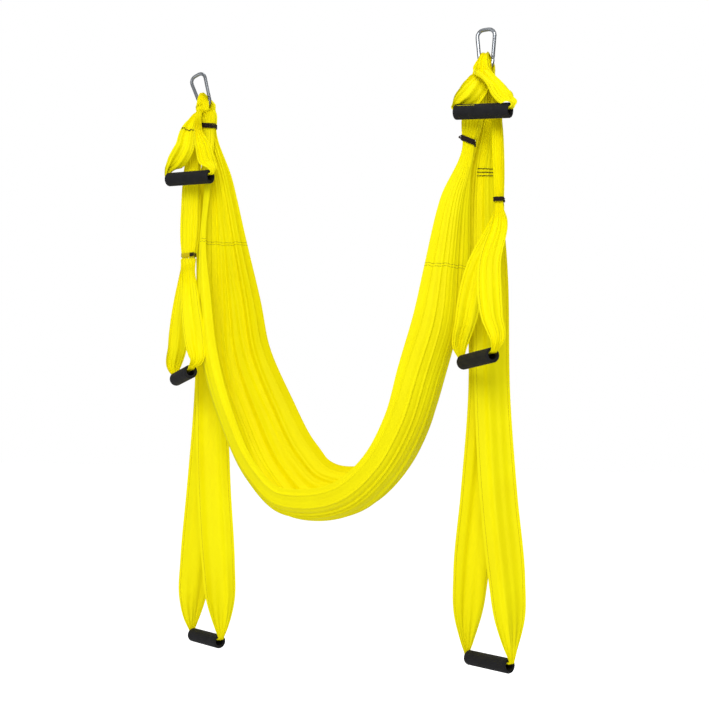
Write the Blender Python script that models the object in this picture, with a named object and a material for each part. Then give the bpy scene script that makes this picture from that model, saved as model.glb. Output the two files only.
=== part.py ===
import math

import bmesh
import bpy
import numpy as np
from mathutils import Matrix, Vector

# Aerial hammock: a gathered cloth hangs as a U between two snap hooks, and
# each hook also carries three cloth straps that end in foam hand grips.
# Metres, +Z up. X runs from the left hook to the right hook. The origin lies
# midway between the hooks, level with the inner top of the upright hook.

# Overall layout
hook_spacing = 0.7825
hammock_drop = 1.153
gap = 0.0003
overrun = 0.002

# Snap hook
rod_radius = 0.0045
hook_length = 0.100
lower_bow_radius = 0.016
shoulder_radius = 0.0150
shoulder_offset = 0.0065
left_lean_deg = 19.0
rod_sides_level = 3
bow_steps = 9
shoulder_steps = 5

# Gate of the hook
gate_length = 0.044
gate_start = 0.0095
gate_radius = 0.0043
gate_gap = 0.0004
tongue_thickness = 0.0030
tongue_radius = 0.0032
tongue_neck = 0.0060
slot_width = 0.0038
rivet_radius = 0.0014
rivet_head_radius = 0.0024
rivet_head_height = 0.0007
nose_reach = 0.0052
nose_radius = 0.0030
latch_radius = 0.0012
bore_radius = 0.0024
bore_depth = 0.024
spring_wire_radius = 0.0003
spring_turns = 5
spring_points_per_turn = 8
plunger_radius = 0.0019
plunger_length = 0.0060
round_sides = 16

# Places of the cloth loops along the lower bow, from the hook's middle line
# towards the other hook
loop_gap = 0.0010
hammock_loop_width = 0.0067
strap_loop_width = 0.0038
loop_start = -0.0108
strap_thickness = 0.0050
hammock_thickness = 0.0056

# Foam grips
grip_length = 0.140
grip_radius = 0.0175
grip_rounding = 0.0028
core_length = 0.136
core_radius = 0.0130
core_wall = 0.0020
grip_sides = 20
grip_rounding_steps = 3

# Straps: length from the hook's inner top to the middle of the grip, how far
# the grip lies beside its hook and behind it, the grip's turn about the
# vertical, its slope, and the widest cloth
short_drop = {"left": 0.286, "right": 0.205}
medium_drop = {"left": 0.793, "right": 0.771}
long_drop = {"left": 1.477, "right": 1.474}
short_beside = {"left": -0.0050, "right": 0.0125}
medium_beside = {"left": -0.0280, "right": -0.0085}
long_beside = {"left": -0.0300, "right": -0.0290}
short_behind = -0.060
medium_behind = -0.047
long_behind = 0.072
short_turn_deg = -6.0
medium_turn_deg = -40.0
long_turn_deg = -27.0
short_slope_deg = {"left": -3.0, "right": -6.0}
medium_slope_deg = {"left": 6.0, "right": 4.0}
long_slope_deg = {"left": 0.0, "right": 0.0}
short_width = 0.060
medium_width = 0.050
long_width = 0.088
fold_depth = 0.0022
mouth_width = 0.0150
mouth_thickness = 0.0056
mouth_reach = 0.0006
mouth_bend_radius = 0.0056
mouth_steps = 3

# Bindings
medium_binding_drop = {"left": 0.476, "right": 0.401}
medium_binding_beside = {"left": -0.0440, "right": 0.0310}
medium_binding_behind = -0.004
medium_binding_width = {"left": 0.038, "right": 0.020}
hammock_binding_drop = {"left": 0.139, "right": 0.254}
hammock_binding_width = {"left": 0.044, "right": 0.028}
hammock_binding_beside = {"left": 0.0130, "right": -0.0455}
binding_height = 0.0120
binding_wall = 0.0014
binding_sides = 24
binding_clearance = 0.0016
binding_looseness = 0.0012

# Hammock: width and wall heights of the trough
trough_width = 0.200
near_wall_height = 0.088
far_wall_height = 0.148
cloth_thickness = 0.0060
trough_fold_depth = 0.0040
trough_fold_count = 4
trough_wall_share = 0.80
dense_steps = 400
hammock_seam_drop = {"left": 0.446, "right": 0.551}
seam_gap = 0.0003
hammock_columns = 11
strap_columns = 5
edge_thinning = 0.62
trough_roundness = 1.2
end_thickness_share = 0.25

# Line of the trough's underside in the X-Z plane, from the left binding to
# the right one: shares of half the hook spacing and of the hammock's drop
hammock_line_shares = (
    (-0.984, 0.250),
    (-0.989, 0.380),
    (-0.991, 0.520),
    (-0.954, 0.646),
    (-0.793, 0.793),
    (-0.586, 0.916),
    (-0.361, 0.984),
    (-0.121, 0.997),
    (0.180, 0.972),
    (0.408, 0.906),
    (0.588, 0.805),
    (0.694, 0.700),
    (0.787, 0.598),
    (0.816, 0.477),
    (0.850, 0.347),
)
# How far the trough has opened along that line: share of its width, of the
# near wall's height and of the far wall's height
hammock_open_shares = (
    (0.24, 0.58, 0.46),
    (0.48, 0.69, 0.66),
    (0.74, 0.74, 0.86),
    (0.88, 0.73, 0.91),
    (1.00, 0.73, 0.97),
    (1.00, 0.78, 1.00),
    (1.00, 0.84, 0.98),
    (1.00, 0.88, 0.88),
    (1.00, 0.82, 0.76),
    (0.96, 0.76, 0.62),
    (0.88, 0.80, 0.58),
    (0.78, 0.89, 0.56),
    (0.66, 0.93, 0.50),
    (0.50, 0.76, 0.44),
    (0.30, 0.56, 0.34),
)

# Legs of a strap, from its top loop to the mouth of its grip. Each row gives
# the share of the drop, the share of the way across to the grip, the share
# of the legs' spread at the grip, the share of the cloth's width, the share
# of the turn to the grip's direction, and the cloth's own turn in degrees.
short_leg_shares = (
    (0.11, 0.26, 0.09, 0.064, 0.00, 0.0),
    (0.19, 0.44, 0.09, 0.10, 0.10, 0.0),
    (0.31, 0.62, 0.17, 0.36, 0.50, -10.0),
    (0.50, 0.90, 0.36, 0.84, 0.82, -30.0),
    (0.70, 1.00, 0.66, 1.00, 0.94, -32.0),
    (0.86, 1.00, 1.04, 0.56, 1.00, -8.0),
)
medium_leg_shares = (
    (0.12, 0.30, 0.16, 0.56, 0.25, -6.0),
    (0.40, 0.92, 0.46, 0.94, 0.60, -28.0),
    (0.74, 1.00, 0.72, 1.00, 0.90, -22.0),
    (0.92, 1.00, 1.02, 0.62, 1.00, -6.0),
)
long_leg_shares = (
    (0.024, 0.19, 0.090, 0.040, 0.02, 0.0),
    (0.042, 0.42, 0.090, 0.15, 0.20, 0.0),
    (0.175, 1.00, 0.110, 0.46, 0.34, 0.0),
    (0.350, 1.20, 0.150, 0.78, 0.54, -16.0),
    (0.550, 1.18, 0.240, 0.96, 0.72, -24.0),
    (0.720, 1.08, 0.540, 1.00, 0.86, -30.0),
    (0.860, 1.02, 0.880, 0.96, 0.94, -32.0),
    (0.935, 1.00, 0.980, 0.80, 0.99, -16.0),
    (0.975, 1.00, 1.000, 0.44, 1.00, 0.0),
)
# Legs of a gathered end, from the bow to the binding: share of the drop,
# share of the way across and share of the bundle's width
hammock_end_leg_shares = (
    (0.16, 0.42, 0.20),
    (0.38, 0.80, 0.50),
    (0.66, 0.98, 0.82),
    (0.92, 1.00, 1.00),
    (1.00, 1.00, 1.00),
)
medium_hanger_leg_shares = (
    (0.16, 0.42, 0.22),
    (0.38, 0.74, 0.66),
    (0.66, 0.94, 1.12),
    (0.92, 1.00, 1.02),
    (1.00, 1.00, 1.00),
)
clear_share = 0.86
slope_onset = 3
lower_loop_share = 0.8
leg_steps = 13
end_crowding = 0.70
end_panel_steps = 9
middle_panel_steps = 19
loop_steps = 7

side_names = ("left", "right")


def side_sign(side):
    return 1.0 if side == "right" else -1.0


def clear_scene():
    for old in list(bpy.data.objects):
        bpy.data.objects.remove(old, do_unlink=True)
    for old in list(bpy.data.collections):
        bpy.data.collections.remove(old)


def make_material(name, colour, roughness, metallic):
    material = bpy.data.materials.new(name)
    material.use_nodes = True
    shader = material.node_tree.nodes["Principled BSDF"]
    shader.inputs["Base Color"].default_value = (*colour, 1.0)
    shader.inputs["Roughness"].default_value = roughness
    shader.inputs["Metallic"].default_value = metallic
    material.diffuse_color = (*colour, 1.0)
    return material


def taffeta_material(name):
    return make_material(name, (0.92, 0.86, 0.01), 0.55, 0.0)


def steel_material(name):
    return make_material(name, (0.55, 0.56, 0.58), 0.25, 1.0)


def foam_material(name):
    return make_material(name, (0.018, 0.018, 0.020), 0.85, 0.0)


def core_material(name):
    return make_material(name, (0.05, 0.05, 0.05), 0.45, 0.0)


def thread_material(name):
    return make_material(name, (0.045, 0.020, 0.018), 0.75, 0.0)


def add_mesh(name, points, faces, collection, material):
    mesh = bpy.data.meshes.new(name)
    mesh.from_pydata([tuple(p) for p in points], [], faces)
    mesh.update()
    made = bpy.data.objects.new(name, mesh)
    collection.objects.link(made)
    made.data.materials.append(material)
    return made


def shade(made, angle_deg=35.0):
    made.data.shade_smooth()
    made.data.set_sharp_from_angle(angle=math.radians(angle_deg))


def point_outwards(made):
    work = bmesh.new()
    work.from_mesh(made.data)
    bmesh.ops.recalc_face_normals(work, faces=work.faces)
    work.to_mesh(made.data)
    work.free()


def turned(name, profile, count, collection, material):
    """A closed profile of (radius, height) points turned about local Z."""
    points = []
    faces = []
    around = len(profile)
    for i in range(count):
        angle = 2.0 * math.pi * i / count
        for radius, height in profile:
            points.append((radius * math.cos(angle), radius * math.sin(angle), height))
    for i in range(count):
        k = (i + 1) % count
        for j in range(around):
            m = (j + 1) % around
            faces.append((i * around + j, k * around + j, k * around + m, i * around + m))
    made = add_mesh(name, points, faces, collection, material)
    point_outwards(made)
    return made


# Loft along a line of stations. Each station has a centre, a half width, a
# half thickness, the compass angle of its width and the depth of its folds.


def ribbon_section(columns):
    across = np.linspace(-1.0, 1.0, columns)
    body = 1.0 - edge_thinning * across**4
    wave = np.cos(across * math.pi * 2.0)
    return across, body, wave


def smooth_rows(rows, count, crowding=0.0):
    """Cubic through the rows, spaced by distance, sampled count times.
    Crowding draws the samples towards both ends."""
    rows = np.asarray(rows, float)
    step = np.linalg.norm(np.diff(rows[:, :3], axis=0), axis=1)
    where = np.concatenate([[0.0], np.cumsum(step)])
    slope = np.gradient(rows, where, axis=0)
    t = np.linspace(0.0, 1.0, count)
    wanted = where[-1] * (t - crowding * np.sin(2.0 * math.pi * t) / (2.0 * math.pi))
    cell = np.clip(np.searchsorted(where, wanted, side="right") - 1, 0, len(where) - 2)
    span = where[cell + 1] - where[cell]
    t = ((wanted - where[cell]) / span)[:, None]
    span = span[:, None]
    first = (2 * t**3 - 3 * t**2 + 1) * rows[cell] + (t**3 - 2 * t**2 + t) * span * slope[cell]
    second = (3 * t**2 - 2 * t**3) * rows[cell + 1] + (t**3 - t**2) * span * slope[cell + 1]
    return first + second


def ribbon_rings(stations, columns, closed):
    """Rings of points: the front of the cloth from edge to edge, then its back."""
    stations = np.asarray(stations, float)
    centre = stations[:, :3]
    if closed:
        along = np.roll(centre, -1, axis=0) - np.roll(centre, 1, axis=0)
    else:
        along = np.gradient(centre, axis=0)
    along /= np.linalg.norm(along, axis=1)[:, None]
    angle = np.radians(stations[:, 5])
    side = np.stack([np.cos(angle), np.sin(angle), np.zeros(len(angle))], axis=1)
    side -= along * np.sum(side * along, axis=1)[:, None]
    side /= np.linalg.norm(side, axis=1)[:, None]
    out = np.cross(along, side)
    across, body, wave = ribbon_section(columns)
    wide = side[:, None, :] * (stations[:, 3][:, None] * across)[:, :, None]
    lift = stations[:, 6][:, None] * wave
    thick = stations[:, 4][:, None] * body
    front = centre[:, None, :] + wide + out[:, None, :] * (lift + thick)[:, :, None]
    back = centre[:, None, :] + wide + out[:, None, :] * (lift - thick)[:, :, None]
    return np.concatenate([front, back[:, ::-1]], axis=1)


def loft(name, rings, closed, collection, material):
    """Skin over equal rings, each half front and half back, capped if open."""
    count, around = len(rings), len(rings[0])
    points = [p for ring in rings for p in ring]
    faces = []
    last = count if closed else count - 1
    for i in range(last):
        k = (i + 1) % count
        for j in range(around):
            m = (j + 1) % around
            faces.append((i * around + j, i * around + m, k * around + m, k * around + j))
    if not closed:
        half = around // 2
        for base, flip in ((0, False), ((count - 1) * around, True)):
            for j in range(half - 1):
                face = (base + j, base + around - 1 - j, base + around - 2 - j, base + j + 1)
                faces.append(face[::-1] if flip else face)
    made = add_mesh(name, points, faces, collection, material)
    point_outwards(made)
    shade(made, 50.0)
    return made


# Places on the hook


def hook_low_height():
    return rod_radius - (hook_length - 2.0 * rod_radius)


def bow_rise(offset):
    return lower_bow_radius - math.sqrt(lower_bow_radius**2 - offset**2)


def bow_half_height(offset):
    return rod_radius * lower_bow_radius / math.sqrt(lower_bow_radius**2 - offset**2)


def loop_place(start, width):
    """Axis height above the bow's lowest line and hole radius of a cloth loop
    that hangs over the curved bow from start to start + width."""
    ends = (start, start + width)
    far = max(abs(v) for v in ends)
    near = 0.0 if ends[0] < 0.0 < ends[1] else min(abs(v) for v in ends)
    top = bow_rise(far) + bow_half_height(far)
    bottom = bow_rise(near) - bow_half_height(near)
    return (top + bottom) / 2.0, (top - bottom) / 2.0 + gap


def loop_starts():
    """Start of each cloth loop along the bow, from the outside inwards."""
    places = {}
    start = loop_start
    for name, width in (
        ("medium", strap_loop_width),
        ("long", strap_loop_width),
        ("short", strap_loop_width),
        ("hammock", hammock_loop_width),
    ):
        places[name] = start
        start += width + loop_gap
    return places


def loop_axis(side, name):
    """World point on a cloth loop's axis and the hole radius around it."""
    width = hammock_loop_width if name == "hammock" else strap_loop_width
    start = loop_starts()[name]
    height, hole = loop_place(start, width)
    sign = side_sign(side)
    x = sign * (hook_spacing / 2.0 - (start + width / 2.0))
    return np.array([x, 0.0, hook_low_height() + height]), hole


# Snap hooks


def hook_outline():
    """Centre line of the rod in the hook's own X-Z plane, from the gate's
    foot, down round the lower bow and over the top to the gate's nose."""
    low = np.array([0.0, hook_low_height() + lower_bow_radius])
    high = np.array([shoulder_offset, rod_radius - shoulder_radius])
    reach = high - low
    distance = np.hypot(*reach)
    tilt = math.atan2(reach[0], reach[1])
    lean = math.asin((lower_bow_radius - shoulder_radius) / distance)
    side_angle = tilt - lean
    outward = np.array([math.cos(side_angle), -math.sin(side_angle)])
    foot = low + outward * lower_bow_radius
    crown = high + outward * shoulder_radius
    upward = (crown - foot) / np.linalg.norm(crown - foot)
    pivot = foot + upward * gate_start
    nose = pivot + upward * gate_length
    points = [pivot - upward * tongue_neck]
    lowest = math.pi * 1.5
    half = math.pi / 2.0 - side_angle
    for k in range(bow_steps):
        angle = lowest + half * (1.0 - 2.0 * k / (bow_steps - 1))
        points.append(low + lower_bow_radius * np.array([math.cos(angle), math.sin(angle)]))
    turn = math.pi / 2.0 + side_angle
    for k in range(shoulder_steps):
        angle = math.pi + side_angle - turn * k / (shoulder_steps - 1)
        centre = np.array([-high[0], high[1]])
        points.append(centre + shoulder_radius * np.array([math.cos(angle), math.sin(angle)]))
    for k in range(shoulder_steps):
        angle = math.pi / 2.0 - turn * k / (shoulder_steps - 1)
        points.append(high + shoulder_radius * np.array([math.cos(angle), math.sin(angle)]))
    points.append(nose + upward * tongue_neck)
    return points, pivot, nose, upward


def rod_mesh(name, points, radius, level, collection):
    """A round rod along points, with its end caps welded."""
    curve = bpy.data.curves.new(name, "CURVE")
    curve.dimensions = "3D"
    curve.bevel_depth = radius
    curve.bevel_resolution = level
    curve.use_fill_caps = True
    spline = curve.splines.new("POLY")
    spline.points.add(len(points) - 1)
    for spot, place in zip(spline.points, points):
        spot.co = (*place, 1.0)
    drawn = bpy.data.objects.new(name, curve)
    collection.objects.link(drawn)
    bpy.context.view_layer.update()
    graph = bpy.context.evaluated_depsgraph_get()
    mesh = bpy.data.meshes.new_from_object(drawn.evaluated_get(graph))
    place = drawn.matrix_world.copy()
    bpy.data.objects.remove(drawn, do_unlink=True)
    bpy.data.curves.remove(curve)
    work = bmesh.new()
    work.from_mesh(mesh)
    bmesh.ops.remove_doubles(work, verts=work.verts, dist=radius / 100.0)
    bmesh.ops.recalc_face_normals(work, faces=work.faces)
    work.to_mesh(mesh)
    work.free()
    made = bpy.data.objects.new(name, mesh)
    made.matrix_world = place
    collection.objects.link(made)
    return made


def plate_mesh(name, outline, thickness, collection):
    """A flat plate in the X-Z plane, its outline given as (x, z) points."""
    work = bmesh.new()
    half = thickness / 2.0
    low = [work.verts.new((x, -half, z)) for x, z in outline]
    face = work.faces.new(low)
    grown = bmesh.ops.extrude_face_region(work, geom=[face])
    moved = [v for v in grown["geom"] if isinstance(v, bmesh.types.BMVert)]
    bmesh.ops.translate(work, verts=moved, vec=(0.0, thickness, 0.0))
    bmesh.ops.recalc_face_normals(work, faces=work.faces)
    mesh = bpy.data.meshes.new(name)
    work.to_mesh(mesh)
    work.free()
    made = bpy.data.objects.new(name, mesh)
    collection.objects.link(made)
    return made


def cylinder_mesh(name, radius, length, count, collection):
    """A cylinder along local Y, centred on its own origin."""
    work = bmesh.new()
    turn = Matrix.Rotation(math.pi / 2.0, 4, "X")
    bmesh.ops.create_cone(
        work,
        cap_ends=True,
        segments=count,
        radius1=radius,
        radius2=radius,
        depth=length,
        matrix=turn,
    )
    mesh = bpy.data.meshes.new(name)
    work.to_mesh(mesh)
    work.free()
    made = bpy.data.objects.new(name, mesh)
    collection.objects.link(made)
    return made


def combine(target, tool, operation):
    """Apply one Boolean to target's mesh and remove the tool."""
    change = target.modifiers.new(operation.lower(), "BOOLEAN")
    change.operation = operation
    change.solver = "EXACT"
    change.object = tool
    bpy.context.view_layer.update()
    graph = bpy.context.evaluated_depsgraph_get()
    mesh = bpy.data.meshes.new_from_object(target.evaluated_get(graph))
    target.modifiers.remove(change)
    target.data = mesh
    bpy.data.objects.remove(tool, do_unlink=True)


def arc_points(centre, radius, start, end, count):
    angles = np.linspace(start, end, count)
    return [centre + radius * np.array([math.cos(a), math.sin(a)]) for a in angles]


def tongue_outline(base, tip, upward, radius):
    """Straight flanks from base, closed by a half circle round tip."""
    across = np.array([upward[1], -upward[0]])
    angle = math.atan2(across[1], across[0])
    outline = [base - across * radius, base + across * radius]
    outline += arc_points(tip, radius, angle, angle + math.pi, 9)
    return outline


def snap_hook_body(side, collection, cutters, parent):
    points, pivot, nose, upward = hook_outline()
    name = side + "_hook_body"
    body = rod_mesh(name, [(x, 0.0, z) for x, z in points], rod_radius, rod_sides_level, collection)
    tongue = plate_mesh(
        "tongue",
        tongue_outline(pivot - upward * (tongue_neck + overrun), pivot, upward, tongue_radius),
        tongue_thickness,
        cutters,
    )
    combine(body, tongue, "UNION")
    catch_tip = nose - upward * nose_reach
    catch = plate_mesh(
        "catch",
        tongue_outline(nose + upward * (tongue_neck + overrun), catch_tip, -upward, nose_radius),
        tongue_thickness,
        cutters,
    )
    combine(body, catch, "UNION")
    across = np.array([upward[1], -upward[0]])
    notch_half = latch_radius + gap
    latch = nose - upward * (nose_reach / 2.0)
    inward = latch - across * (nose_radius + overrun)
    notch_outline = [inward + upward * notch_half, inward - upward * notch_half]
    start = math.atan2(-upward[1], -upward[0])
    notch_outline += arc_points(latch, notch_half, start, start + math.pi, 7)
    through = tongue_thickness + 2.0 * overrun
    notch = plate_mesh("notch", notch_outline, through, cutters)
    combine(body, notch, "DIFFERENCE")
    hole = cylinder_mesh("hole", rivet_radius + gap, through, round_sides, cutters)
    hole.location = (pivot[0], 0.0, pivot[1])
    combine(body, hole, "DIFFERENCE")
    body.data.materials.clear()
    body.data.materials.append(steel_material(name))
    shade(body)
    body.parent = parent
    return pivot, nose, upward, latch


def gate_frame(pivot, upward):
    """Matrix that stands local Z on the gate's line, at the pivot."""
    up = Vector((upward[0], 0.0, upward[1]))
    front = Vector((0.0, 1.0, 0.0))
    right = front.cross(up)
    turn = Matrix((right, front, up)).transposed().to_4x4()
    return Matrix.Translation((pivot[0], 0.0, pivot[1])) @ turn


def gate_tube(name, low, high, collection):
    """Round bar along local Z with rounded ends' edges taken off."""
    work = bmesh.new()
    bmesh.ops.create_cone(
        work,
        cap_ends=True,
        segments=round_sides,
        radius1=gate_radius,
        radius2=gate_radius,
        depth=high - low,
        matrix=Matrix.Translation((0.0, 0.0, (low + high) / 2.0)),
    )
    mesh = bpy.data.meshes.new(name)
    work.to_mesh(mesh)
    work.free()
    made = bpy.data.objects.new(name, mesh)
    collection.objects.link(made)
    return made


def box_mesh(name, size, centre, collection):
    work = bmesh.new()
    bmesh.ops.create_cube(work, size=1.0)
    bmesh.ops.scale(work, verts=work.verts, vec=size)
    bmesh.ops.translate(work, verts=work.verts, vec=centre)
    mesh = bpy.data.meshes.new(name)
    work.to_mesh(mesh)
    work.free()
    made = bpy.data.objects.new(name, mesh)
    collection.objects.link(made)
    return made


def snap_hook_gate(side, collection, cutters, parent, pivot, upward):
    """The gate's bar is slotted at both ends and bored for its spring. Its
    local origin is the pivot, with local Z along the bar. Its foot is short
    enough for its corners to swing past the end of the rod."""
    name = side + "_hook_gate"
    low = -math.sqrt((tongue_neck - gate_gap) ** 2 - gate_radius**2)
    high = gate_length + tongue_neck - gate_gap
    gate = gate_tube(name, low, high, collection)
    foot_slot = tongue_radius + 2.0 * gap
    wide = 2.0 * (gate_radius + overrun)
    foot = box_mesh(
        "foot",
        (wide, slot_width, foot_slot - low + overrun),
        (0.0, 0.0, (foot_slot + low - overrun) / 2.0),
        cutters,
    )
    combine(gate, foot, "DIFFERENCE")
    head_slot = gate_length - nose_reach - nose_radius - 2.0 * gap
    head = box_mesh(
        "head",
        (wide, slot_width, high + overrun - head_slot),
        (0.0, 0.0, (high + overrun + head_slot) / 2.0),
        cutters,
    )
    combine(gate, head, "DIFFERENCE")
    bore = gate_tube("bore", foot_slot - overrun, foot_slot + bore_depth, cutters)
    share = bore_radius / gate_radius
    bore.scale = (share, share, 1.0)
    combine(gate, bore, "DIFFERENCE")
    for height, radius in ((0.0, rivet_radius), (gate_length - nose_reach / 2.0, latch_radius)):
        hole = cylinder_mesh("hole", radius + gap, wide, round_sides, cutters)
        hole.location = (0.0, 0.0, height)
        combine(gate, hole, "DIFFERENCE")
    gate.data.materials.clear()
    gate.data.materials.append(steel_material(name))
    shade(gate)
    gate.matrix_world = gate_frame(pivot, upward)
    gate.parent = parent
    return gate


def hook_rivet(side, collection, parent, pivot, upward):
    """Headed rivet through the gate's ears and the tongue."""
    name = side + "_hook_rivet"
    half = gate_radius
    profile = [
        (0.0, -half - rivet_head_height),
        (rivet_head_radius, -half - rivet_head_height),
        (rivet_head_radius, -half),
        (rivet_radius, -half),
        (rivet_radius, half),
        (rivet_head_radius, half),
        (rivet_head_radius, half + rivet_head_height),
        (0.0, half + rivet_head_height),
    ]
    return pin_from_profile(name, profile, collection, parent, pivot)


def pin_from_profile(name, profile, collection, parent, place):
    """Turn (radius, height) about the Y direction at an (x, z) place."""
    work = bmesh.new()
    spots = [work.verts.new((radius, 0.0, height)) for radius, height in profile]
    edges = [work.edges.new(pair) for pair in zip(spots, spots[1:])]
    bmesh.ops.spin(
        work,
        geom=spots + edges,
        cent=(0.0, 0.0, 0.0),
        axis=(0.0, 0.0, 1.0),
        angle=2.0 * math.pi,
        steps=round_sides,
        use_merge=True,
    )
    bmesh.ops.remove_doubles(work, verts=work.verts, dist=latch_radius / 100.0)
    bmesh.ops.recalc_face_normals(work, faces=work.faces)
    mesh = bpy.data.meshes.new(name)
    work.to_mesh(mesh)
    work.free()
    made = bpy.data.objects.new(name, mesh)
    collection.objects.link(made)
    made.data.materials.append(steel_material(name))
    shade(made)
    made.matrix_world = Matrix.Translation((place[0], 0.0, place[1])) @ Matrix.Rotation(
        -math.pi / 2.0, 4, "X"
    )
    made.parent = parent
    return made


def hook_latch_pin(side, collection, parent, latch):
    """Plain cross pin in the gate's upper slot."""
    half = math.sqrt(gate_radius**2 - latch_radius**2)
    profile = [(0.0, -half), (latch_radius, -half), (latch_radius, half), (0.0, half)]
    return pin_from_profile(side + "_hook_latch_pin", profile, collection, parent, latch)


def hook_plunger(side, collection, parent, pivot, upward):
    """Small headed plunger that the spring presses on the tongue's end."""
    name = side + "_hook_plunger"
    base = tongue_radius + gap
    work = bmesh.new()
    bmesh.ops.create_cone(
        work,
        cap_ends=True,
        segments=round_sides,
        radius1=plunger_radius,
        radius2=plunger_radius,
        depth=plunger_length,
        matrix=Matrix.Translation((0.0, 0.0, base + plunger_length / 2.0)),
    )
    mesh = bpy.data.meshes.new(name)
    work.to_mesh(mesh)
    work.free()
    made = bpy.data.objects.new(name, mesh)
    collection.objects.link(made)
    made.data.materials.append(steel_material(name))
    shade(made)
    made.matrix_world = gate_frame(pivot, upward)
    made.parent = parent
    return made


def hook_spring(side, collection, parent, pivot, upward):
    """Compression spring between the plunger and the end of the gate's bore."""
    name = side + "_hook_spring"
    low = tongue_radius + gap + plunger_length + gap + spring_wire_radius
    high = tongue_radius + 2.0 * gap + bore_depth - gap - spring_wire_radius
    radius = bore_radius - gap - spring_wire_radius
    count = spring_turns * spring_points_per_turn
    points = []
    for i in range(count + 1):
        angle = 2.0 * math.pi * i / spring_points_per_turn
        height = low + (high - low) * i / count
        points.append((radius * math.cos(angle), radius * math.sin(angle), height))
    made = rod_mesh(name, points, spring_wire_radius, 1, collection)
    made.data.materials.clear()
    made.data.materials.append(steel_material(name))
    shade(made, 60.0)
    made.matrix_world = gate_frame(pivot, upward)
    made.parent = parent
    return made


def hook_anchor(side):
    """Empty that carries one hook. The left one leans with its top outwards
    about the middle of its lower bow, so that both bows stay level."""
    lean = math.radians(left_lean_deg) if side == "left" else 0.0
    low = Vector((0.0, 0.0, hook_low_height() + lower_bow_radius))
    place = Matrix.Translation((side_sign(side) * hook_spacing / 2.0, 0.0, low.z))
    return place @ Matrix.Rotation(-lean, 4, "Y") @ Matrix.Translation(-low)


def snap_hook(side, collection, cutters):
    anchor = bpy.data.objects.new(side + "_hook_anchor", None)
    collection.objects.link(anchor)
    pivot, nose, upward, latch = snap_hook_body(side, collection, cutters, anchor)
    snap_hook_gate(side, collection, cutters, anchor, pivot, upward)
    hook_rivet(side, collection, anchor, pivot, upward)
    hook_latch_pin(side, collection, anchor, latch)
    hook_plunger(side, collection, anchor, pivot, upward)
    hook_spring(side, collection, anchor, pivot, upward)
    anchor.matrix_world = hook_anchor(side)


# Grips


def grip_point(side, beside, behind, drop):
    x = side_sign(side) * hook_spacing / 2.0 + beside[side]
    return np.array([x, behind, -drop[side]])


def grip_direction(turn_deg, slope_deg=0.0):
    angle = math.radians(turn_deg)
    slope = math.radians(slope_deg)
    level = np.array([math.cos(angle), math.sin(angle), 0.0])
    return level * math.cos(slope) + np.array([0.0, 0.0, math.sin(slope)])


def foam_profile():
    """Foam sleeve: outer wall with rounded ends, inner wall on the core."""
    half = grip_length / 2.0
    inner = core_radius + gap
    profile = [(inner, -half)]
    for top in (-1.0, 1.0):
        for k in range(grip_rounding_steps):
            angle = math.pi / 2.0 * k / (grip_rounding_steps - 1)
            if top > 0.0:
                angle = math.pi / 2.0 - angle
            radius = grip_radius - grip_rounding * (1.0 - math.sin(angle))
            height = top * (half - grip_rounding * (1.0 - math.cos(angle)))
            profile.append((radius, height))
    profile.append((inner, half))
    return profile


def core_profile():
    half = core_length / 2.0
    inner = core_radius - core_wall
    return [(inner, -half), (core_radius, -half), (core_radius, half), (inner, half)]


def hand_grip(side, kind, centre, turn_deg, slope_deg, collection):
    for piece, profile, maker in (
        ("foam", foam_profile(), foam_material),
        ("core", core_profile(), core_material),
    ):
        name = side + "_" + kind + "_grip_" + piece
        made = turned(name, profile, grip_sides, collection, maker(name))
        shade(made)
        made.matrix_world = (
            Matrix.Translation(centre)
            @ Matrix.Rotation(math.radians(turn_deg), 4, "Z")
            @ Matrix.Rotation(math.pi / 2.0 - math.radians(slope_deg), 4, "Y")
        )


# Straps


def top_loop(axis, radius, half_width, half_thickness, count):
    """Stations over a rod along X, from the front (-Y) to the back."""
    rows = []
    for k in range(count):
        angle = math.pi * k / (count - 1)
        y = -radius * math.cos(angle)
        z = radius * math.sin(angle)
        rows.append((axis[0], axis[1] + y, axis[2] + z, half_width, half_thickness, 0.0, 0.0))
    return rows


def bore_seat():
    """Height above the bore's axis at which flat cloth carries the grip."""
    clear_radius = (core_radius - core_wall) * math.cos(math.pi / grip_sides) - gap
    edge = mouth_thickness / 2.0 * (1.0 - edge_thinning)
    return math.sqrt(clear_radius**2 - (mouth_width / 2.0) ** 2) - edge


def mouth_bend(centre, turn_deg, slope_deg, sign):
    """Stations from above the grip's mouth, round the bend, into the bore."""
    direction = grip_direction(turn_deg, slope_deg) * sign
    end = centre + direction * (grip_length / 2.0 + mouth_reach)
    end = end + np.array([0.0, 0.0, bore_seat()])
    rows = []
    for k in range(mouth_steps + 1):
        angle = math.pi / 2.0 * k / mouth_steps
        out = direction * mouth_bend_radius * math.cos(angle)
        up = mouth_bend_radius * (1.0 - math.sin(angle))
        place = end + out + np.array([0.0, 0.0, up])
        rows.append((*place, mouth_width / 2.0, mouth_thickness / 2.0, turn_deg + 90.0, 0.0))
    return rows


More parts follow.
